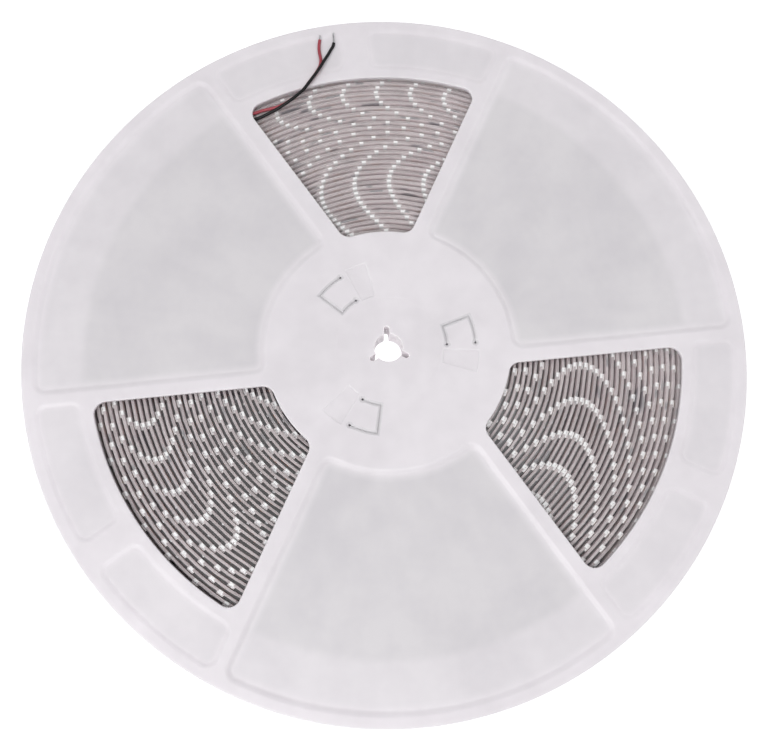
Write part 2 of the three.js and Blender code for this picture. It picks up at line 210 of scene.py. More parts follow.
def coatedMaterial(name, light, dark, patchColour, patchShare, patchLength, plan):
    material, tree, shader = newMaterial(name)
    along = addNode(tree, "ShaderNodeUVMap", {"uv_map": "stripMap"}).outputs["UV"]
    stretch = addNode(tree, "ShaderNodeMapping", {"vector_type": "POINT"}, Vector=along,
                      Scale=(1 / (patchLength * mm), 1 / (plan["patchHeight"] * mm), 1)).outputs["Vector"]
    patches, tone = (addNode(tree, "ShaderNodeTexNoise", {"noise_dimensions": "2D"}, Vector=stretch,
                             Scale=scale, Detail=detail).outputs["Fac"]
                     for scale, detail in ((1, 1), (0.37, 2)))
    base = addNode(tree, "ShaderNodeValToRGB", Fac=tone, stops=[(0.35, srgb(dark)), (0.65, srgb(light))])
    mask = addNode(tree, "ShaderNodeMapRange", {"interpolation_type": "SMOOTHSTEP"}, Value=patches,
                   From_Min=1 - patchShare, From_Max=1 - patchShare + 0.1)
    mixed = addNode(tree, "ShaderNodeMix", {"data_type": "RGBA"}, i0=mask.outputs["Result"],
                    i6=base.outputs["Color"], i7=srgb(patchColour))
    place = addNode(tree, "ShaderNodeTexCoord").outputs["Object"]
    height = addNode(tree, "ShaderNodeSeparateXYZ", Vector=place).outputs["Z"]
    deep, high = (z * mm for z in plan["depth"])
    # painted shade: darker low down on each face
    shade = addNode(tree, "ShaderNodeMapRange", {"interpolation_type": "SMOOTHSTEP"}, Value=height,
                    From_Min=deep, From_Max=high, To_Min=plan["lowShade"])
    shaded = addNode(tree, "ShaderNodeVectorMath", {"operation": "SCALE"}, i0=mixed.outputs[2],
                     Scale=shade.outputs["Result"])
    # painted light: white over each package, standing in for the package seen through the coat
    over = addNode(tree, "ShaderNodeAttribute", {"attribute_name": "paintedPackageGlow"})
    colour = addNode(tree, "ShaderNodeMix", {"data_type": "RGBA"}, i0=over.outputs["Fac"],
                     i6=shaded.outputs["Vector"], i7=srgb(plan["paintedPackageGlow"]))
    setInputs(tree, shader, Base_Color=colour.outputs[2], Roughness=plan["roughness"], IOR=1.41,
              Subsurface_Weight=plan["subsurface"], Subsurface_Radius=(1.0, 0.95, 0.95),
              Subsurface_Scale=plan["subsurfaceScale"] * mm)
    return material


coatedFace = coatedMaterial("siliconeCoat", "#f0e8e9", "#e2d8da", "#bab6b9", 0.33, 16, stripFinish)
linerPaper = coatedMaterial("adhesiveLiner", "#f4eaeb", "#e8dddf", "#b4b0b5", 0.33, 20, stripFinish)
coatedEdge = coatedMaterial("coatedEdge", "#bfb7b8", "#aba3a4", "#979597", 0.35, 13, stripFinish)


# Solid-coloured plastics and metals, with a fine mottle in tone and roughness
def plainMaterial(name, light, dark, roughness, metallic=0.0, patternSize=1.5, ior=1.5, grain=0.0):
    material, tree, shader = newMaterial(name)
    place = addNode(tree, "ShaderNodeTexCoord").outputs["Object"]
    scale = 1 / (patternSize * mm)
    noise = addNode(tree, "ShaderNodeTexNoise", Vector=place, Scale=scale, Detail=3).outputs["Fac"]
    colour = addNode(tree, "ShaderNodeValToRGB", Fac=noise, stops=[(0.35, srgb(dark)), (0.65, srgb(light))])
    rough = addNode(tree, "ShaderNodeMapRange", Value=noise, To_Min=max(0.02, roughness - 0.07),
                    To_Max=roughness + 0.07)
    setInputs(tree, shader, Base_Color=colour.outputs["Color"], Roughness=rough.outputs["Result"],
              Metallic=metallic)
    if not metallic:
        setInputs(tree, shader, IOR=ior)
    if grain:
        bump = addNode(tree, "ShaderNodeBump", Strength=grain, Distance=0.05 * mm, Height=noise)
        setInputs(tree, shader, Normal=bump.outputs["Normal"])
    return material


# moulded PPA, opaque white with a dull gloss
packageWhite = plainMaterial("ledHousing", "#ffffff", "#fbfaf8", 0.25)
# silicone filled with yellow phosphor, smooth
phosphor = plainMaterial("ledPhosphor", "#f3de7a", "#e9d063", 0.25, patternSize=0.6)
# dull tin on copper, satin
tinPlate = plainMaterial("tinPlate", "#dcdcde", "#c9c9cc", 0.3, metallic=1.0)
# bare etched copper, satin and warm
copperPad = plainMaterial("copperPad", "#d99a6c", "#c98a5e", 0.35, metallic=1.0)
# ceramic under a black glaze
resistorBody = plainMaterial("resistorBody", "#26262b", "#1a1a1e", 0.35, ior=1.55)
# reflowed solder, bright and slightly rippled
solderMetal = plainMaterial("solder", "#d4d4d6", "#b9b9bd", 0.28, metallic=1.0, grain=0.2)
# extruded soft PVC, satin
redPvc = plainMaterial("pvcRed", "#ab4450", "#963a45", 0.42, patternSize=4)
blackPvc = plainMaterial("pvcBlack", "#0e0e10", "#09090b", 0.42, patternSize=4, ior=1.38)
print("materials made")


# The leads

leadPlan = {
    "diameter": 1.5,
    "strandDiameter": 0.27,
    "strandTurn": 7.0,                   # mm for one twist of the strands
    "splay": 0.5,                        # how far they spread at their end, in a strand's radii
    "uneven": 0.06,                      # how much shorter than the tip a strand may be, as a share
    "samples": 6,
    "sides": 20,
    # each point is its radius and its angle and its height, in m and degrees
    "red": [(0.1413, 138.1, 0.0081), (0.1419, 136.4, 0.0084), (0.1423, 134.6, 0.0095),
            (0.1422, 132.8, 0.0108), (0.1411, 131, 0.0112), (0.1391, 129.2, 0.0112),
            (0.13695, 127.2, 0.0112), (0.1351, 125.2, 0.0112), (0.1337, 123.2, 0.0112),
            (0.1328, 121.2, 0.01125), (0.1322, 119.7, 0.0115), (0.1313, 118.25, 0.012),
            (0.1305, 116.7, 0.0126), (0.1304, 114.75, 0.0136), (0.1312, 112.9, 0.0145),
            (0.1324, 111.45, 0.01495), (0.1341, 110.1, 0.015), (0.1366, 108.85, 0.015),
            (0.1389, 107.7, 0.015), (0.1413, 106.7, 0.01495), (0.1438, 105.9, 0.01485),
            (0.1464, 105.5, 0.0147), (0.1486, 105.4, 0.01455), (0.1506, 105.4, 0.0145),
            (0.153, 105.3, 0.0145), (0.1553, 105.1, 0.0145), (0.1576, 104.8, 0.0145)],
    "black": [(0.1413, 138.1, 0.0047), (0.1416, 136.4, 0.0052), (0.1415, 134.6, 0.0069),
              (0.1409, 132.8, 0.0092), (0.1394, 131, 0.0109), (0.1373, 129.2, 0.0112),
              (0.13495, 127.3, 0.0112), (0.1328, 125.4, 0.0112), (0.1312, 123.6, 0.0112),
              (0.1299, 121.7, 0.01125), (0.1294, 120.3, 0.0118), (0.1291, 118.55, 0.0128),
              (0.129, 116.75, 0.014), (0.1294, 114.85, 0.0152), (0.1303, 113, 0.0161),
              (0.1316, 111.5, 0.0165), (0.1332, 110.2, 0.01655), (0.1357, 108.9, 0.01655),
              (0.138, 107.75, 0.01655), (0.1404, 106.7, 0.0165), (0.1429, 105.75, 0.01635),
              (0.1456, 104.9, 0.0159), (0.1485, 104, 0.0152), (0.1512, 103.25, 0.0147),
              (0.1534, 102.65, 0.0145), (0.1549, 102.45, 0.0145)],
    "redTip": [(0.1576, 104.8, 0.0145), (0.1589, 104.7, 0.01455), (0.1599, 104.6, 0.01465)],
    "blackTip": [(0.1549, 102.45, 0.0145), (0.1563, 102.35, 0.0145), (0.1576, 102.3, 0.0145),
                 (0.1602, 102.2, 0.0147)],
}


# A centripetal Catmull-Rom line through a route's points
def routeLine(route, samples):
    points = [Vector((*polar(radius, angle), z)) for radius, angle, z in route]
    points = [2 * points[0] - points[1], *points, 2 * points[-1] - points[-2]]
    line = []
    for i in range(1, len(points) - 2):
        p = points[i - 1:i + 3]
        knots = [0.0]
        for a, b in zip(p, p[1:]):
            knots.append(knots[-1] + max((b - a).length, 1e-9) ** 0.5)
        for j in range(samples):
            t = knots[1] + (knots[2] - knots[1]) * j / samples
            blend = lambda a, b, ta, tb: a * ((tb - t) / (tb - ta)) + b * ((t - ta) / (tb - ta))
            a1, a2, a3 = (blend(p[k], p[k + 1], knots[k], knots[k + 1]) for k in range(3))
            b1, b2 = blend(a1, a2, knots[0], knots[2]), blend(a2, a3, knots[1], knots[3])
            line.append(blend(b1, b2, knots[1], knots[2]))
    line.append(points[-2])
    return line


def lineLength(line):
    return sum((b - a).length for a, b in zip(line, line[1:]))


def lineTangents(line):
    last = len(line) - 1
    return [(line[min(i + 1, last)] - line[max(i - 1, 0)]).normalized() for i in range(last + 1)]


# A closed tube along a line, with its radius at each point
def tubeMesh(name, line, radii, sides):
    tangents = lineTangents(line)
    normal = tangents[0].orthogonal().normalized()
    verts, faces = [], []
    for i, (point, tangent) in enumerate(zip(line, tangents)):
        normal = (normal - tangent * normal.dot(tangent)).normalized()
        other = tangent.cross(normal)
        for k in range(sides):
            turn = 2 * math.pi * k / sides
            verts.append(point + radii[i] * (normal * math.cos(turn) + other * math.sin(turn)))
        if i:
            for k in range(sides):
                a, b = (i - 1) * sides + k, (i - 1) * sides + (k + 1) % sides
                faces.append((a, b, b + sides, a + sides))
    faces.append(tuple(range(sides))[::-1])
    faces.append(tuple(range((len(line) - 1) * sides, len(line) * sides)))
    mesh = bpy.data.meshes.new(name)
    mesh.from_pydata(verts, [], faces)
    mesh.update()
    return mesh


# The same with slightly rounded ends
def roundedTube(name, line, radius, sides, edge):
    ends = [(0, 0.65), (0.3, 0.9), (1.0, 1.0)]    # how far in, in edges, and the share of the radius
    first, last = line[0], line[-1]
    intoFirst, intoLast = (line[1] - first).normalized(), (line[-2] - last).normalized()
    start = [first + intoFirst * edge * k for k, _ in ends]
    stop = [last + intoLast * edge * k for k, _ in reversed(ends)]
    middle = [p for p in line if min((p - first).length, (p - last).length) > edge * 1.5]
    shares = [share for _, share in ends]
    radii = [radius * share for share in (*shares, *[1] * len(middle), *reversed(shares))]
    return tubeMesh(name, start + middle + stop, radii, sides)


# Seven tinned strands, twisted together and a little splayed at their end
def strandMesh(name, line, plan):
    strand = plan["strandDiameter"] * mm / 2
    total = lineLength(line)
    joined = bmesh.new()
    for index in range(7):
        points, gone = [], 0.0
        reference = Vector((0, 0, 1))
        for i, (point, tangent) in enumerate(zip(line, lineTangents(line))):
            if i:
                gone += (point - line[i - 1]).length
            side = tangent.cross(reference).normalized()
            up = side.cross(tangent)
            turn = 2 * math.pi * (gone / (plan["strandTurn"] * mm) + index / 6)
            reach = 0 if index == 6 else strand * (2.0 + plan["splay"] * (gone / total) ** 2)
            points.append(point + reach * (side * math.cos(turn) + up * math.sin(turn)))
        shorter = 1 - plan["uneven"] * ((index * 5) % 7) / 7
        points = points[:max(4, round(len(points) * shorter))]
        part = roundedTube(name, points, strand, 8, strand * 0.5)
        joined.from_mesh(part)
        bpy.data.meshes.remove(part)
    mesh = bpy.data.meshes.new(name)
    joined.to_mesh(mesh)
    joined.free()
    return mesh


def makeLead(colour, insulation, plan):
    line = routeLine(plan[colour], plan["samples"])
    mesh = roundedTube(colour + "Lead", line, plan["diameter"] * mm / 2, plan["sides"], 0.12 * mm)
    smooth(mesh, 50)
    lead = makeObject(colour + "Lead", mesh, [insulation])
    tipMesh = strandMesh(colour + "LeadStrands", routeLine(plan[colour + "Tip"], 10), plan)
    smooth(tipMesh, 60)
    return lead, makeObject(colour + "LeadStrands", tipMesh, [tinPlate]), line


redLead, redTip, redLine = makeLead("red", redPvc, leadPlan)
blackLead, blackTip, blackLine = makeLead("black", blackPvc, leadPlan)
print("leads made", round(lineLength(redLine), 4), round(lineLength(blackLine), 4))


# The reel's two halves

reelPlan = {                             # mm and degrees
    "radius": 165.0, "flange": 2.2, "width": 14.2, "gap": 0.3, "windowAngle": 98.7,
    "window": (56.0, 135.0, 5.5),
    # how far each window's two sides lie from the radials beside it
    "windowSides": [(12.8, 14.2), (12.2, 13.2), (12.6, 12.6)],
    "panel": (57.0, 159.2, 5.0), "panelDepth": 0.9, "panelStep": 3.2,
    # how far inside a field's edge its floor shows as thin, and how thin, which sets its painted shade
    "panelFade": [(2.0, 0.2), (3.0, 0.6), (4.6, 1.0)], "padFade": [(1.6, 0.4), (3.0, 0.9)],
    "ribOffset": 9.2, "ribWidth": 7.2,
    "pad": (140.0, 159.6, 4.5), "padDepth": 0.35, "padStep": 2.6, "padRib": 13.0, "padSide": 11.6,
    "arbor": 6.5, "notchReach": 10.1, "notchWidth": 2.4, "sleeve": 13.0,
    "hubRecess": 24.0, "hubRecessDepth": 0.04, "hubRecessStep": 0.9,
    "drum": 50.0, "drumWall": 2.4,
    "hubRib": (44.0, 0.8),               # how far out a rib in the hub reaches, and half its thickness
    "spigotWall": 2.3, "spigotAngles": (6, 54),
    # half the length and the two sides of a tongue's nib and of the post for the other half's
    "nib": (3.5, -1.6, -0.05), "post": (4.5, -2.7, -0.3), "nibSetback": 1.1, "nibDepth": 2,
    "endRounding": 0.2,
    "tongue": (26.8, 39.9, 27.9, 46.5), "slot": 0.08, "relief": 0.52,
    "groove": (0.36, 1.08),              # the soft groove along a slot: how deep, and how far out
    "pocket": (8.4, 22.9, 1.6), "pocketDepth": 0.25, "pocketStep": 0.7,
    "edge": 0.4,                         # the rounding of outer edges
    "chordError": 0.01,
}


def arcPoints(centre, radius, start, stop, error=reelPlan["chordError"]):
    step = 2 * math.acos(1 - error / max(radius, 1.0))
    count = max(3, math.ceil(abs(math.radians(stop - start)) / step))
    return [polar(radius, start + (stop - start) * i / count) + centre for i in range(count + 1)]


origin = Vector((0, 0))


def circlePoints(radius):
    return arcPoints(origin, radius, 0, 360)[:-1]


# A field between two radii and two straight sides, with rounded corners. Each side is
# parallel to the radial at its angle and lies its offset inside it.
def fieldOutline(inner, outer, corner, lowAngle, lowOffset, highAngle, highOffset):
    def rounded(angle, offset, radius, inward, turn):
        across = offset + corner
        centreRadius = radius - corner if inward else radius + corner
        along = math.sqrt(centreRadius ** 2 - across ** 2)
        centre = Vector((along, turn * across))
        centre.rotate(Matrix.Rotation(math.radians(angle), 2))
        onArc = math.degrees(math.atan2(centre.y, centre.x)) + (0 if inward else 180)
        sweep = (angle - 90 * turn - onArc + 180) % 360 - 180
        return arcPoints(centre, corner, onArc, onArc + sweep)

    def between(start, stop, radius):
        first = math.degrees(math.atan2(start.y, start.x))
        sweep = (math.degrees(math.atan2(stop.y, stop.x)) - first + 180) % 360 - 180
        return arcPoints(origin, radius, first, first + sweep)[1:-1]

    lowOuter = rounded(lowAngle, lowOffset, outer, True, 1)[::-1]
    highOuter = rounded(highAngle, highOffset, outer, True, -1)
    highInner = rounded(highAngle, highOffset, inner, False, -1)[::-1]
    lowInner = rounded(lowAngle, lowOffset, inner, False, 1)
    return (lowOuter + between(lowOuter[-1], highOuter[0], outer) + highOuter
            + highInner + between(highInner[-1], lowInner[0], inner) + lowInner)


def arborOutline(plan):
    half, radius = plan["notchWidth"] / 2, plan["arbor"]
    lean = math.degrees(math.asin(half / radius))
    points = []
    for i in range(3):
        angle = plan["windowAngle"] + 120 * i
        tip = polar(plan["notchReach"] - half, angle)
        points += arcPoints(tip, half, angle - 90, angle + 90, 0.02)
        points += arcPoints(origin, radius, angle + lean, angle + 120 - lean)
    return points


def sectorOutline(inner, outer, low, high):
    return arcPoints(origin, outer, low, high) + arcPoints(origin, inner, high, low)


def blockOutline(inner, outer, angle, low, high):
    turn = Matrix.Rotation(math.radians(angle), 2)
    corners = (inner, low), (outer, low), (outer, high), (inner, high)
    return [turn @ Vector(corner) for corner in corners]


# The U-shaped slot round a tongue, with a round relief hole at each end
def tongueOutline(plan, middle):
    inner, outer, root, end = plan["tongue"]
    root, end = root + middle, end + middle
    half, relief = plan["slot"] / 2, plan["relief"]
    reach = math.sqrt(relief ** 2 - half ** 2)
    lean = math.degrees(math.asin(half / relief))

    def leg(radius, across):
        first, last = (math.degrees(math.asin(away / radius)) for away in (reach, across))
        return arcPoints(origin, radius, root + first, end + last)

    def bulb(radius):
        points = arcPoints(polar(radius, root), relief, root + 90 - lean, root - 270 + lean, 0.09)
        return points[::-1][1:-1]

    return (leg(outer + half, half) + leg(inner - half, half)[::-1] + bulb(inner)
            + leg(inner + half, -half) + leg(outer - half, -half)[::-1] + bulb(outer))


def outlineArea(points):
    return sum(a.x * b.y - b.x * a.y for a, b in zip(points, points[1:] + points[:1])) / 2


# Moves an outline into its own inside by a distance, or out of it if that is negative
def inset(points, distance):
    if not distance:
        return points
    turn = 1 if outlineArea(points) > 0 else -1
    moved = []
    for i, point in enumerate(points):
        before, after = (point - points[i - 1]), (points[(i + 1) % len(points)] - point)
        normals = [Vector((-d.y, d.x)).normalized() * turn for d in (before, after)]
        bisector = (normals[0] + normals[1]).normalized()
        moved.append(point + bisector * distance / max(0.5, bisector.dot(normals[0])))
    return moved


# A soft step down to a floor, centred on its outline: how far in and how far down, in mm
def softStep(depth, width, steps=8, support=0.05):
    slope = [(width * (i / steps - 0.5), depth * (1 - math.cos(math.pi * i / steps)) / 2)
             for i in range(steps + 1)]
    return [(-width / 2 - support, 0), *slope]


# A wall right through, with both its edges rounded
def throughProfile(top, bottom, edge, support=0.25, steps=4):
    turns = [math.pi / 2 * i / steps for i in range(steps + 1)]
    down = [(-edge - support, top)]
    down += [(-edge + edge * math.sin(turn), top + edge * (1 - math.cos(turn))) for turn in turns]
    return down + [(inward, bottom - (depth - top)) for inward, depth in reversed(down)]


class Plate:
    def __init__(self):
        self.verts, self.faces, self.paintedShadeAndLight = [], [], []

    def loop(self, points, z, paintedShadeAndLight=0.0):
        start = len(self.verts)
        self.verts += [(p.x, p.y, z) for p in points]
        self.paintedShadeAndLight += [paintedShadeAndLight] * len(points)
        return list(range(start, len(self.verts)))

    def bridge(self, a, b):
        for i in range(len(a)):
            j = (i + 1) % len(a)
            self.faces.append((a[i], a[j], b[j], b[i]))

    # Rings down an outline, then in over its floor; gives the first and the last ring. Tone is the share of
    # painted shade on all rings but the first, and painted light where it is negative
    def wall(self, outline, profile, fade=(), tone=0.0):
        rings = [self.loop(inset(outline, inward), -down, tone if i else 0.0)
                 for i, (inward, down) in enumerate(profile)]
        floor = -profile[-1][1]
        rings += [self.loop(inset(outline, inward), floor, paintedShadeAndLight) for inward, paintedShadeAndLight in fade]
        for a, b in zip(rings, rings[1:]):
            self.bridge(a, b)
        return rings[0], rings[-1]

    # Fills between an outer ring and the holes in it
    def fill(self, outer, holes):
        rings = [outer, *holes]
        index = [v for ring in rings for v in ring]
        points = [Vector(self.verts[v][:2]) for v in index]
        edges, start = [], 0
        for ring in rings:
            count = len(ring)
            edges += [(start + i, start + (i + 1) % count) for i in range(count)]
            start += count
        coords, _, triangles, origins, _, _ = delaunay_2d_cdt(points, edges, [], 0, 1e-7)
        stray = [coords[i] for i, given in enumerate(origins) if len(given) != 1]
        if stray:
            print("outlines meet at", stray[:6], len(stray))
        centres = np.array([[sum(coords[v][axis] for v in t) / 3 for axis in (0, 1)] for t in triangles])
        inside = contains(self, outer, centres)
        for hole in holes:
            inside &= ~contains(self, hole, centres)
        for keep, triangle in zip(inside, triangles):
            if keep:
                self.faces.append(tuple(index[origins[v][0]] for v in triangle))


def contains(plate, ring, points):
    corners = np.array([plate.verts[v][:2] for v in ring])
    inside = np.zeros(len(points), bool)
    for (ax, ay), (bx, by) in zip(corners, np.roll(corners, -1, 0)):
        if ay != by:
            crosses = (points[:, 1] < ay) != (points[:, 1] < by)
            inside ^= crosses & (points[:, 0] < (bx - ax) * (points[:, 1] - ay) / (by - ay) + ax)
    return inside


# One half, its outer face up at z = 0, in mm
def buildHalf(plan):
    plate = Plate()
    under, halfDepth = plan["flange"], (plan["width"] - plan["gap"]) / 2
    reach = plan["width"] - plan["flange"] - plan["gap"]
    edge = plan["edge"]
    topHoles, underHoles, hubHoles = [], [], []
    grooveDepth, grooveWidth = plan["groove"]
    groove = [(inward - grooveWidth / 2, down) for inward, down in softStep(grooveDepth, grooveWidth, 6)]
    groove += [(0, under - 0.1), (-0.1, under)]
    rim = circlePoints(plan["radius"])
    rimDown = [(edge + 0.3, 0)] + [(edge - edge * math.sin(t), edge - edge * math.cos(t))
                                   for t in (i * math.pi / 8 for i in range(5))]
    rimUp = [(inward, under - down) for inward, down in reversed(rimDown)]
    rimTop, rimUnder = plate.wall(rim, rimDown + rimUp)

    for i in range(3):
        middle = plan["windowAngle"] + 120 * i
        low, high = middle - 30, middle + 30
        lowSide, highSide = plan["windowSides"][i]
        window = fieldOutline(*plan["window"], low, lowSide, high, highSide)
        top, bottom = plate.wall(window, throughProfile(0, under, edge))
        topHoles.append(top)
        underHoles.append(bottom)

        # the shallow fields: a blank panel, two pads and the pocket by a tongue
        side = plan["ribWidth"] / 2 - plan["ribOffset"]
        ribHalf = plan["padRib"] / 2
        inner, outer, root, end = plan["tongue"]
        pocketLow, pocketHigh, margin = plan["pocket"]
        pocketLow, pocketHigh = middle + pocketLow, middle + pocketHigh
        fields = [
            ("panel", fieldOutline(*plan["panel"], high, side, high + 60, side)),
            ("pad", fieldOutline(*plan["pad"], low, plan["padSide"], middle, ribHalf)),
            ("pad", fieldOutline(*plan["pad"], middle, ribHalf, high, plan["padSide"])),
            ("pocket", sectorOutline(inner - margin, outer + margin, pocketLow, pocketHigh)),
        ]
        for kind, outline in fields:
            step = softStep(plan[kind + "Depth"], plan[kind + "Step"])
            top, floor = plate.wall(outline, step, plan.get(kind + "Fade", ()))
            topHoles.append(top)
            plate.fill(floor, [])

        # painted shade: the groove round each tongue takes the thin floors' greyer colour
        top, bottom = plate.wall(tongueOutline(plan, middle), groove, tone=1.0)
        topHoles.append(top)
        hubHoles.append(bottom)

        # inside the hub: ribs, centring lips, the tongue's nib and the post for the other half's
        tongueMiddle = (inner + outer) / 2
        nibAngle = end - math.degrees(plan["nibSetback"] / tongueMiddle)
        lipOuter = plan["drum"] - plan["drumWall"] - plan["gap"]
        ribReach, ribHalf = plan["hubRib"]
        stands = [(blockOutline(plan["sleeve"] + 0.8, ribReach, angle, -ribHalf, ribHalf), halfDepth)
                  for angle in (middle, middle + 60)]
        lipLow, lipHigh = (middle + angle for angle in plan["spigotAngles"])
        stands.append((sectorOutline(lipOuter - plan["spigotWall"], lipOuter, lipLow, lipHigh), reach))
        for kind, angle, depth in (("nib", nibAngle, under + plan["nibDepth"]), ("post", -nibAngle, reach)):
            half, near, far = plan[kind]
            block = blockOutline(tongueMiddle - half, tongueMiddle + half, middle + angle, near, far)
            stands.append((block, depth))
        for outline, depth in stands:
            base, cap = plate.wall(outline, [(0, under), (0, depth)])
            hubHoles.append(base)
            plate.fill(cap, [])

    recessTop, recessFloor = plate.wall(circlePoints(plan["hubRecess"]),
                                        softStep(plan["hubRecessDepth"], plan["hubRecessStep"]))
    topHoles.append(recessTop)
    through = throughProfile(plan["hubRecessDepth"], halfDepth, plan["endRounding"], 0.12)
    # painted light on the arbor hole's wall
    arborTop, arborEnd = plate.wall(arborOutline(plan), through, tone=-1.0)
    plate.fill(recessFloor, [arborTop])
    plate.fill(rimTop, topHoles)

    rounding = plan["endRounding"]
    outside = [(0, under), (0, halfDepth - rounding), (rounding, halfDepth)]
    inside = [(0, under), (0, halfDepth)]
    drumFoot, drumEnd = plate.wall(circlePoints(plan["drum"]), outside)
    innerFoot, innerEnd = plate.wall(circlePoints(plan["drum"] - plan["drumWall"]), inside)
    sleeveFoot, sleeveEnd = plate.wall(circlePoints(plan["sleeve"]), outside)
    plate.fill(drumEnd, [innerEnd])
    plate.fill(sleeveEnd, [arborEnd])
    plate.fill(rimUnder, [*underHoles, drumFoot])
    plate.fill(innerFoot, [*hubHoles, sleeveFoot])
    return plate


def halfMesh(name, plate, turn):
    mesh = bpy.data.meshes.new(name)
    mesh.from_pydata([turn @ (Vector(v) * mm) for v in plate.verts], [], plate.faces)
    mesh.attributes.new("paintedShadeAndLight", "FLOAT", "POINT").data.foreach_set("value", plate.paintedShadeAndLight)
    tidy = bmesh.new()
    tidy.from_mesh(mesh)
    bmesh.ops.remove_doubles(tidy, verts=tidy.verts, dist=1e-7)
    bmesh.ops.recalc_face_normals(tidy, faces=tidy.faces)
    openEdges = sum(1 for e in tidy.edges if len(e.link_faces) != 2)
    print(name, "verts", len(tidy.verts), "faces", len(tidy.faces), "open edges", openEdges)
    tidy.to_mesh(mesh)
    tidy.free()
    smooth(mesh, 35)
    return mesh


halfPlate = buildHalf(reelPlan)
lifted = Matrix.Translation((0, 0, reelPlan["width"] * mm))
flipAxis = Vector((*polar(1, reelPlan["windowAngle"]), 0))
turned = Matrix.Rotation(math.pi, 4, flipAxis)
frontHalf = makeObject("frontHalf", halfMesh("frontHalf", halfPlate, lifted), [polystyrene])
backHalf = makeObject("backHalf", halfMesh("backHalf", halfPlate, turned), [polystyrene])
print("reel halves made")


# The LED strip, on edge

stripPlan = {
    "bottom": 2.4, "width": 8.0, "thickness": 1.1,
    "firstRadius": 51.64, "turnPitch": 2.54, "turns": 34, "endAngle": 138.0,
    "widening": 0.0025, "middleTurn": 16,    # mm, how the winding is looser away from its middle
    "steps": 180,                            # a turn
    "paintedPackageGlow": (0.6, 1.3),               # mm, the half length of the painted light spot over a package
    "ledPitch": 16.667,                      # 60 LEDs a metre
    "sag": 0.22,                             # mm, how far a turn sinks between the LEDs below it
    "wave": 0.08,
    "edge": 0.04,                            # mm, how much lower the section's corners are
    "patchShift": 25,                        # mm between one turn's pattern and the next one's
    # where the LEDs stand in each window: how far past its middle, in mm, one of the 17th turn's
    # stands, and how this place moves with the turns, with their square and with their cube
    "windows": {98.7: (1.3, 3.34, 0.365, 0.0083), 218.7: (2.9, -5.85, 0.4457, 0.0084),
                338.7: (2.4, 1.005, 0.311, -0.0032)},
    "phaseTurn": 17,
    "windowReach": 27,                       # degrees to each side of the window's middle
}


def spiralRadius(turns, plan):
    radius = plan["firstRadius"] + plan["turnPitch"] * turns
    return radius + plan["widening"] * (turns - plan["middleTurn"]) ** 2


# The LEDs' places along the strip, in turns from its start
def ledPlaces(plan):
    placed = []
    for middle, law in plan["windows"].items():
        for whole in range(plan["turns"]):
            atMiddle = whole + (plan["endAngle"] - middle) / 360 % 1
            around = 2 * math.pi * (spiralRadius(atMiddle, plan) + plan["thickness"])
            reach = around * plan["windowReach"] / 360
            past = whole - plan["phaseTurn"]
            shift = sum(factor * past ** power for power, factor in enumerate(law))
            first = math.ceil((-reach - shift) / plan["ledPitch"])
            last = math.floor((reach - shift) / plan["ledPitch"])
            placed += [atMiddle + (shift + i * plan["ledPitch"]) / around for i in range(first, last + 1)]
    placed = sorted(turns for turns in placed if 0.02 < turns < plan["turns"] - 0.02)
    ends = [0.0, *placed, plan["turns"] - 0.012]
    filled = []
    for a, b in zip(ends, ends[1:]):
        gap = 2 * math.pi * spiralRadius((a + b) / 2, plan) * (b - a)
        count = max(1, round(gap / plan["ledPitch"]))
        filled += [a + (b - a) * (i + 1) / count for i in range(count)]
    return [turns for turns in filled if 0.03 < turns < plan["turns"] - 0.015]


ledTurns = ledPlaces(stripPlan)
steps = sorted(2 * math.pi * spiralRadius(a, stripPlan) * (b - a)
               for a, b in zip(ledTurns, ledTurns[1:]))
print("LEDs", len(ledTurns), "steps in mm", [round(g, 1) for g in (*steps[:4], *steps[-4:])])


# How far out the strip's inner face lies, in mm: it sinks between the LEDs below it
def stripRadius(turns, plan, places=np.array(ledTurns)):
    radius = spiralRadius(turns, plan)
    below = turns - 1
    if below > places[0]:
        j = int(np.searchsorted(places, below))
        a, b = places[max(j - 1, 0)], places[min(j, len(places) - 1)]
        if b > a:
            radius -= plan["sag"] * (1 - math.cos(2 * math.pi * (below - a) / (b - a))) / 2
    angle = math.radians(plan["endAngle"] - 360 * turns)
    radius += plan["wave"] * math.sin(5 * angle + 0.31 * turns) * math.sin(0.7 * turns + 2 * angle)
    return radius


def stripPoint(turns, plan, outBy=0.0):
    return polar(stripRadius(turns, plan) + outBy, plan["endAngle"] - 360 * turns)


# Where the strip's rings stand, in turns: evenly, and closer over the packages. Also how
# much each is over a package, which sets the painted light there.
def ringPlaces(plan, leds):
    core, edge = plan["paintedPackageGlow"]
    even = np.linspace(0, plan["turns"], round(plan["turns"] * plan["steps"]) + 1)
    around = 2 * math.pi * spiralRadius(leds, plan)
    closer = [leds + away / around for away in (-edge, -core, core, edge)]
    places = np.unique(np.concatenate([even, *closer]).round(6))
    after = np.clip(np.searchsorted(leds, places), 1, len(leds) - 1)
    away = np.minimum(abs(places - leds[after - 1]), abs(leds[after] - places))
    away *= 2 * math.pi * spiralRadius(places, plan)
    return places, np.clip((edge - away) / (edge - core), 0, 1)


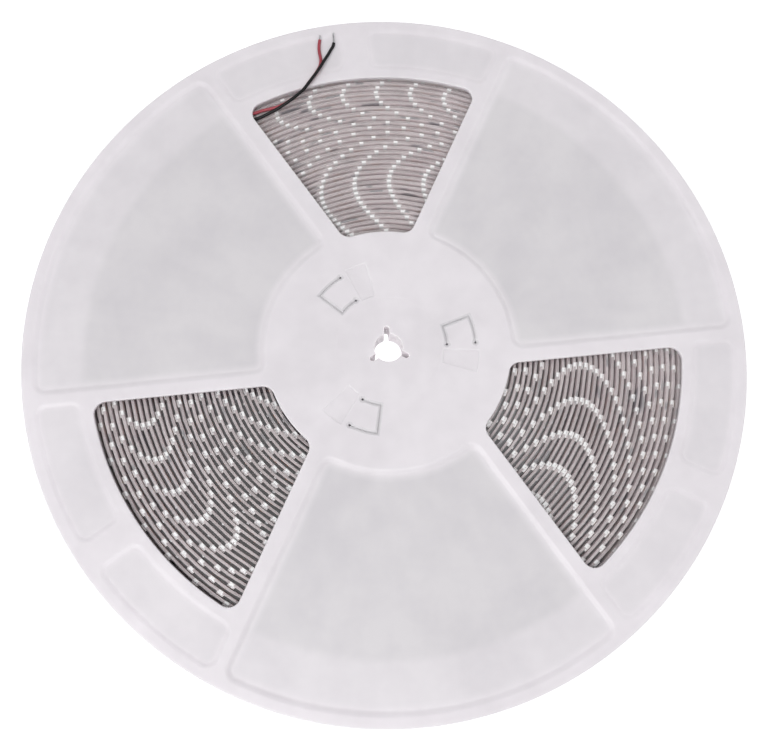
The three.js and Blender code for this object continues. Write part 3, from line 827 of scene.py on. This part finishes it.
def buildStrip(plan):
    places, over = ringPlaces(plan, np.array(ledTurns))
    count = len(places) - 1
    low, high, thick, edge = plan["bottom"], plan["bottom"] + plan["width"], plan["thickness"], plan["edge"]
    section = [(0, low + edge), (thick / 2, low), (thick, low + edge),
               (thick, high - edge), (thick / 2, high), (0, high - edge)]
    slots = [2, 2, 0, 2, 2, 1]           # which material each side of the section has
    verts, faces, slotOf, maps, tones = [], [], [], [], []
    along = 0.0
    previous = None
    for turns, tone in zip(places, over):
        base = stripPoint(turns, plan)
        along += (base - previous).length if previous else 0
        previous = base
        outward = base.normalized()
        for out, z in section:
            verts.append((*((base + outward * out) * mm), z * mm))
            # the painted light over a package lies on the upper half of the section
            tones.append(tone if z > (low + high) / 2 else 0.0)
        maps.append(along * mm)
    sides = len(section)
    for i in range(count):
        for k in range(sides):
            a, b = i * sides + k, i * sides + (k + 1) % sides
            faces.append((a, b, b + sides, a + sides))
            slotOf.append(slots[k])
    faces += [tuple(range(sides))[::-1], tuple(range(count * sides, (count + 1) * sides))]
    slotOf += [2, 2]
    mesh = bpy.data.meshes.new("ledStrip")
    mesh.from_pydata(verts, [], faces)
    mesh.polygons.foreach_set("material_index", slotOf)
    mesh.attributes.new("paintedPackageGlow", "FLOAT", "POINT").data.foreach_set("value", tones)
    layer = mesh.uv_layers.new(name="stripMap")
    loopVerts = np.empty(len(mesh.loops), np.int32)
    mesh.loops.foreach_get("vertex_index", loopVerts)
    heights = np.array([z * mm for _, z in section])
    uv = np.stack([np.array(maps)[loopVerts // sides],
                   heights[loopVerts % sides] + places[loopVerts // sides] * plan["patchShift"] * mm], 1)
    layer.data.foreach_set("uv", uv.astype(np.float32).ravel())
    tidy = bmesh.new()
    tidy.from_mesh(mesh)
    bmesh.ops.recalc_face_normals(tidy, faces=tidy.faces)
    tidy.to_mesh(mesh)
    tidy.free()
    smooth(mesh, 30)
    return makeObject("ledStrip", mesh, [coatedFace, linerPaper, coatedEdge])


ledStrip = buildStrip(stripPlan)
print("strip made")


# What stands on the strip: one tree of Geometry Nodes puts each kind of piece in its places

def boxMesh(joined, centre, size, bevel=0.0):
    made = bmesh.ops.create_cube(joined, size=1)["verts"]
    bmesh.ops.scale(joined, vec=Vector(size) * mm, verts=made)
    bmesh.ops.translate(joined, vec=Vector(centre) * mm, verts=made)
    if bevel:
        edges = list({e for v in made for e in v.link_edges})
        bmesh.ops.bevel(joined, geom=edges, offset=bevel * mm, segments=1, affect="EDGES", profile=0.5)


def ringVerts(joined, x, radius, sides):
    turns = [2 * math.pi * (k + 0.5) / sides for k in range(sides)]
    return [joined.verts.new(Vector((x, radius * math.cos(t), radius * math.sin(t))) * mm) for t in turns]


def bridgeVerts(joined, a, b):
    for i in range(len(a)):
        j = (i + 1) % len(a)
        joined.faces.new((a[i], a[j], b[j], b[i]))


def templateObject(name, joined):
    bmesh.ops.recalc_face_normals(joined, faces=joined.faces)
    mesh = bpy.data.meshes.new(name)
    joined.to_mesh(mesh)
    joined.free()
    return makeObject(name, mesh)


packagePlan = {
    "size": (1.3, 3.5, 2.8),             # out from the strip's coat, along it and across it, mm
    "face": [(0.05, 0), (1.18, 0.05), (1.3, 0.16)],    # how far out each ring is, and how much smaller
    "lens": 1.2, "lensDepth": 0.35, "lensSides": 14,
    "terminal": (0.5, 0.75, 0.12), "terminalPlace": 0.665,
    "resistor": (0.5, 1.1, 1.9), "resistorEnd": (0.56, 1.2, 0.4),
    "pad": (0.95, 0.05), "padPlace": (0.02, 1.3, 1.9),
}


# A package: its housing with a round well, the phosphor in the well and four terminals.
# X points out from the strip, Y along it and Z up.
def packageTemplates(plan):
    out, along, across = plan["size"]
    sides, lensRadius, depth = plan["lensSides"], plan["lens"], plan["lensDepth"]
    housing = bmesh.new()
    corners = [(s * (along / 2), t * (across / 2)) for s, t in ((-1, -1), (1, -1), (1, 1), (-1, 1))]
    base, shoulder, face = (
        [housing.verts.new(Vector((x, y - math.copysign(less, y), z - math.copysign(less, z))) * mm)
         for y, z in corners] for x, less in plan["face"])
    bridgeVerts(housing, base, shoulder)
    bridgeVerts(housing, shoulder, face)
    housing.faces.new(base[::-1])
    well = ringVerts(housing, out, lensRadius, sides)
    bottom = ringVerts(housing, out - depth, lensRadius - 0.12, sides)
    bridgeVerts(housing, well, bottom)
    housing.faces.new(bottom)
    given = face + well
    edges = [(i, (i + 1) % 4) for i in range(4)] + [(4 + k, 4 + (k + 1) % sides) for k in range(sides)]
    flat = [Vector(v.co.yz / mm) for v in given]
    coords, _, triangles, origins, _, _ = delaunay_2d_cdt(flat, edges, [], 0, 1e-6)
    for triangle in triangles:
        centre = sum((coords[v] for v in triangle), Vector((0, 0))) / 3
        if centre.length > lensRadius * 0.96:
            housing.faces.new([given[origins[v][0]] for v in triangle])

    lens = bmesh.new()
    front = ringVerts(lens, out - depth * 0.45, lensRadius - 0.06, sides)
    back = [lens.verts.new(v.co - Vector((depth * 0.4, 0, 0)) * mm) for v in front]
    lens.faces.new(front)
    lens.faces.new(back[::-1])
    bridgeVerts(lens, back, front)

    terminals = bmesh.new()
    long, wide, thick = plan["terminal"]
    for up in (-1, 1):
        for side in (-plan["terminalPlace"], plan["terminalPlace"]):
            boxMesh(terminals, (0.35, side, up * (across / 2 + thick / 2 - 0.02)), (0.7, wide, thick))
            boxMesh(terminals, (0.08, side, up * (across / 2 + long / 2 - 0.05)), (0.14, wide, long))
    return [templateObject("housingPiece", housing), templateObject("lensPiece", lens),
            templateObject("terminalPiece", terminals)]


def resistorTemplates(plan):
    body, caps = bmesh.new(), bmesh.new()
    boxMesh(body, (0.3, 0, 0), plan["resistor"], 0.05)
    for up in (-1, 1):
        boxMesh(caps, (0.31, 0, up * 0.85), plan["resistorEnd"], 0.04)
    return [templateObject("resistorPiece", body), templateObject("resistorEndPiece", caps)]


def padTemplate(plan):
    pads = bmesh.new()
    radius, thick = (size * mm for size in plan["pad"])
    out, side, up = (place * mm for place in plan["padPlace"])
    for place in ((out, -side, -up), (out, -side, up), (out, side, -up), (out, side, up)):
        facing = Matrix.Translation(place) @ Matrix.Rotation(math.pi / 2, 4, "Y")
        made = bmesh.ops.create_circle(
            pads, cap_ends=True, segments=14, radius=radius, matrix=facing)["verts"]
        disc = [f for f in pads.faces if all(v in made for v in f.verts)]
        grown = bmesh.ops.extrude_face_region(pads, geom=disc)["geom"]
        moved = [part for part in grown if isinstance(part, bmesh.types.BMVert)]
        bmesh.ops.translate(pads, vec=(thick, 0, 0), verts=moved)
    return templateObject("padPiece", pads)


# Puts a piece on every point, turned to the strip's heading there
def standTree():
    tree = bpy.data.node_groups.new("standOnStrip", "GeometryNodeTree")
    inputs = {"points": "Geometry", "piece": "Object", "finish": "Material", "lean": "Float", "seed": "Int"}
    for name, kind in inputs.items():
        tree.interface.new_socket(name, in_out="INPUT", socket_type="NodeSocket" + kind)
    tree.interface.new_socket("result", in_out="OUTPUT", socket_type="NodeSocketGeometry")
    given = addNode(tree, "NodeGroupInput").outputs
    heading = addNode(tree, "GeometryNodeInputNamedAttribute", {"data_type": "FLOAT"}, Name="heading")
    less = addNode(tree, "ShaderNodeMath", {"operation": "MULTIPLY"}, i0=given["lean"], i1=-1.0)
    wobble = addNode(tree, "FunctionNodeRandomValue", {"data_type": "FLOAT"}, i2=less.outputs[0],
                     i3=given["lean"], Seed=given["seed"])
    turn = addNode(tree, "ShaderNodeCombineXYZ", X=wobble.outputs[1], Z=heading.outputs["Attribute"])
    rotation = addNode(tree, "FunctionNodeEulerToRotation", Euler=turn.outputs["Vector"])
    piece = addNode(tree, "GeometryNodeObjectInfo", {"transform_space": "ORIGINAL"}, Object=given["piece"])
    spread = addNode(tree, "GeometryNodeInstanceOnPoints", Points=given["points"],
                     Instance=piece.outputs["Geometry"], Rotation=rotation.outputs["Rotation"])
    real = addNode(tree, "GeometryNodeRealizeInstances", Geometry=spread.outputs["Instances"])
    painted = addNode(tree, "GeometryNodeSetMaterial", Geometry=real.outputs["Geometry"],
                      Material=given["finish"])
    addNode(tree, "NodeGroupOutput", result=painted.outputs["Geometry"])
    return tree


standOnStrip = standTree()


def standPieces(name, places, template, finish, z, lean, seed):
    mesh = bpy.data.meshes.new(name)
    face = stripPlan["thickness"] + 0.005
    points, headings = [], []
    for turns in places:
        at = stripPoint(turns, stripPlan, face)
        after = stripPoint(min(turns + 0.003, stripPlan["turns"]), stripPlan, face)
        before = stripPoint(turns - 0.003, stripPlan, face)
        run = after - before             # the strip runs clockwise, so outward is to its left
        points.append((at.x * mm, at.y * mm, z * mm))
        headings.append(math.atan2(run.x, -run.y))
    mesh.from_pydata(points, [], [])
    mesh.attributes.new("heading", "FLOAT", "POINT").data.foreach_set("value", headings)
    carrier = makeObject(name + "Points", mesh)
    modifier = carrier.modifiers.new("stand", "NODES")
    modifier.node_group = standOnStrip
    values = {"piece": template, "finish": finish, "lean": lean, "seed": seed}
    for item in standOnStrip.interface.items_tree:
        if item.in_out == "INPUT" and item.name in values:
            modifier[item.identifier] = values[item.name]
    depsgraph = bpy.context.evaluated_depsgraph_get()
    made = bpy.data.meshes.new_from_object(carrier.evaluated_get(depsgraph))
    made.name = name
    bpy.data.objects.remove(carrier)
    smooth(made, 40)
    return makeObject(name, made, [] if made.materials else [finish])


middle = stripPlan["bottom"] + stripPlan["width"] / 2
housingPiece, lensPiece, terminalPiece = packageTemplates(packagePlan)
resistorPiece, resistorEndPiece = resistorTemplates(packagePlan)
padPiece = padTemplate(packagePlan)
between = [(a + b) / 2 for a, b in zip(ledTurns, ledTurns[1:])]
resistorPlaces, padPlaces = between[::3], between[1::3]
kinds = [
    # each piece's name, its places, what stands there, its finish, how far it leans, and its seed
    ("ledHousings", ledTurns, housingPiece, packageWhite, 0.02, 3),
    ("ledPhosphor", ledTurns, lensPiece, phosphor, 0.02, 3),
    ("ledTerminals", ledTurns, terminalPiece, tinPlate, 0.02, 3),
    ("resistors", resistorPlaces, resistorPiece, resistorBody, 0.0, 0),
    ("resistorEnds", resistorPlaces, resistorEndPiece, tinPlate, 0.0, 0),
    ("stripPads", padPlaces, padPiece, copperPad, 0.0, 0),
]
onStrip = [standPieces(name, places, template, finish, middle, lean, seed)
           for name, places, template, finish, lean, seed in kinds]
for kind in kinds:
    bpy.data.objects.remove(kind[2])
print("packages made", [len(o.data.polygons) for o in onStrip])


# The solder joints

jointPlan = {
    "half": (0.75, 1.6, 1.1),            # mm, its half sizes outward, along the strip and up
    "taper": 0.25,                       # how much wider it is on the pad than on the wire
    "ripple": 0.03,
}


def solderJoint(name, node, lean, plan):
    low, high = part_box(node)
    centre = (low + high) / 2
    outward = Vector((centre.x, centre.y, 0)).normalized()
    along = Vector((-outward.y, outward.x, 0))
    out, wide, tall = (half * mm for half in plan["half"])
    ball = bmesh.new()
    bmesh.ops.create_uvsphere(ball, u_segments=28, v_segments=18, radius=1)
    for vert in ball.verts:
        x, y, z = vert.co
        spread = (1 - plan["taper"] * x) * (1 + plan["ripple"] * math.sin(5 * y + 3 * z + lean))
        vert.co = centre + outward * out * x + along * wide * y * spread + Vector((0, 0, tall * z * spread))
    mesh = bpy.data.meshes.new(name)
    ball.to_mesh(mesh)
    ball.free()
    smooth(mesh, 60)
    return makeObject(name, mesh, [solderMetal])


redJoint = solderJoint("redSolderJoint", "solder_joint_red", 0.4, jointPlan)
blackJoint = solderJoint("blackSolderJoint", "solder_joint_black", 2.1, jointPlan)
print("solder joints made")


# What each piece rides on and stands for

solids = [
    # each piece that stands for a solid, with the solid's node and its finish slot
    (frontHalf, "front_half", "white_plastic"),
    (backHalf, "back_half", "white_plastic"),
    (ledStrip, "led_strip", "led_strip"),
    (redJoint, "solder_joint_red", "solder"),
    (blackJoint, "solder_joint_black", "solder"),
    (redLead, "red_lead", "red_insulation"),
    (blackLead, "black_lead", "black_insulation"),
    (redTip, "red_lead_tip", "tinned_copper"),
    (blackTip, "black_lead_tip", "tinned_copper"),
]
for piece, node, slot in solids:
    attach(piece, "root")
    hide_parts(node)
for piece in onStrip:
    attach(piece, "root")


# Floor and light

lightPlan = {
    "floor": "#e4e4e6",
    "floorReach": 6,                     # m
    # how brightly the camera sees the floor glow, by its distance from the reel's axis in mm: white in the
    # open, raised in the arbor hole as painted light over the reel's shadow there, and dark under the
    # winding, where the glow is left out
    "floorGlowAndPaintedLight": [(0, 0.9), (20, 0.9), (48, 0.06), (160, 0.06), (172, 0.55)],
    "worldStrength": 0.445,
    "key": {"place": (-0.5, -0.75, 1.6), "size": 1.3, "power": 19.6},
    "fill": {"place": (0.9, 0.5, 1.6), "size": 1.6, "power": 6.2},
}


def makeFloor(plan):
    mesh = bpy.data.meshes.new("floor")
    far = plan["floorReach"]
    mesh.from_pydata([(-far, -far, 0), (far, -far, 0), (far, far, 0), (-far, far, 0)], [], [(0, 1, 2, 3)])
    material, tree, shader = newMaterial("floorPaper")
    setInputs(tree, shader, Base_Color=srgb(plan["floor"]), Roughness=0.9, Specular_IOR_Level=0.0)
    rays = addNode(tree, "ShaderNodeLightPath").outputs
    seen = rays["Is Camera Ray"]
    for kind in ("Is Glossy Ray", "Is Transmission Ray"):
        most = addNode(tree, "ShaderNodeMath", {"operation": "MAXIMUM"}, i0=seen, i1=rays[kind])
        seen = most.outputs[0]
    place = addNode(tree, "ShaderNodeTexCoord").outputs["Object"]
    distance = addNode(tree, "ShaderNodeVectorMath", {"operation": "LENGTH"}, i0=place)
    reach = plan["floorGlowAndPaintedLight"][-1][0]
    share = addNode(tree, "ShaderNodeMapRange", Value=distance.outputs["Value"], From_Max=reach * mm)
    # painted light: a stronger glow in the arbor hole, where the reel shades the floor
    ramp = addNode(tree, "ShaderNodeValToRGB", Fac=share.outputs["Result"],
                   stops=[(radius / reach, (level, level, level, 1)) for radius, level in plan["floorGlowAndPaintedLight"]])
    glow = addNode(tree, "ShaderNodeMath", {"operation": "MULTIPLY"}, i0=seen, i1=ramp.outputs["Color"])
    light = addNode(tree, "ShaderNodeEmission", Color=(1, 1, 1, 1), Strength=glow.outputs[0])
    both = addNode(tree, "ShaderNodeAddShader", i0=shader.outputs["BSDF"], i1=light.outputs["Emission"])
    setInputs(tree, tree.nodes["Material Output"], Surface=both.outputs["Shader"])
    return makeObject("floor", mesh, [material])


def makeLamp(name, plan):
    data = bpy.data.lights.new(name, "AREA")
    data.shape, data.size, data.energy = "DISK", plan["size"], plan["power"]
    lamp = bpy.data.objects.new(name, data)
    lamp.location = plan["place"]
    lamp.rotation_euler = (-Vector(plan["place"])).to_track_quat("-Z", "Y").to_euler()
    scene.collection.objects.link(lamp)


floor = makeFloor(lightPlan)
makeLamp("keyLamp", lightPlan["key"])
makeLamp("fillLamp", lightPlan["fill"])
world = bpy.data.worlds.new("studio")
scene.world = world
world.use_nodes = True
sky = world.node_tree
rays = addNode(sky, "ShaderNodeLightPath")
level = addNode(sky, "ShaderNodeMapRange", Value=rays.outputs["Is Camera Ray"],
                To_Min=lightPlan["worldStrength"], To_Max=1.0)
setInputs(sky, sky.nodes["Background"], Color=(1, 1, 1, 1), Strength=level.outputs["Result"])
scene.view_settings.view_transform = "Standard"
print("floor and light made")
